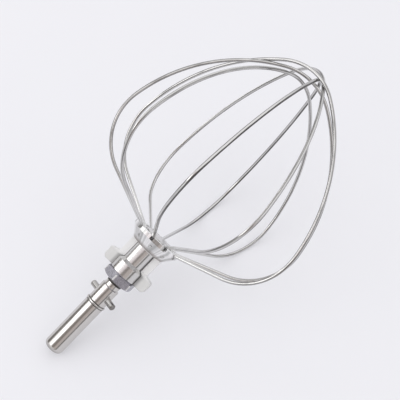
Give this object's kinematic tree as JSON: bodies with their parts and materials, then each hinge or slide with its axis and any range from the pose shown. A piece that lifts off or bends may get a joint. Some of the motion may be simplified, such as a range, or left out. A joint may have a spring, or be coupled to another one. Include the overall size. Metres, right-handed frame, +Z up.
{
  "type": "stand mixer wire whisk",
  "caption": "Balloon whisk for a stand mixer: round wire loops held in a flared hub with finger grips, on a threaded drive shank with a lock nut and a cross pin.",
  "frame": {"origin": "middle of the footprint, on the table the whisk lies on", "axes": "+Z up from the table, +X along the whisk as it lies, from the end of the shank to the tip of the loops, +Y to the left of that"},
  "size_m": [0.2131, 0.1422, 0.1325],
  "materials": {
    "polished_steel": "polished, fine turning marks along the bar",
    "nut_steel": "satin",
    "hub_steel": "polished barrel and cone, satin flat faces",
    "wire_steel": "drawn bright wire"
  },
  "bodies": {
    "root": {"shank": "polished_steel", "cross_pin": "polished_steel", "lock_nut": "nut_steel", "hub": "hub_steel", "wire_plug": "hub_steel", "wire_loop_1": "wire_steel", "wire_loop_2": "wire_steel", "wire_loop_3": "wire_steel", "wire_loop_4": "wire_steel", "wire_loop_5": "wire_steel"}
  },
  "joints": []
}
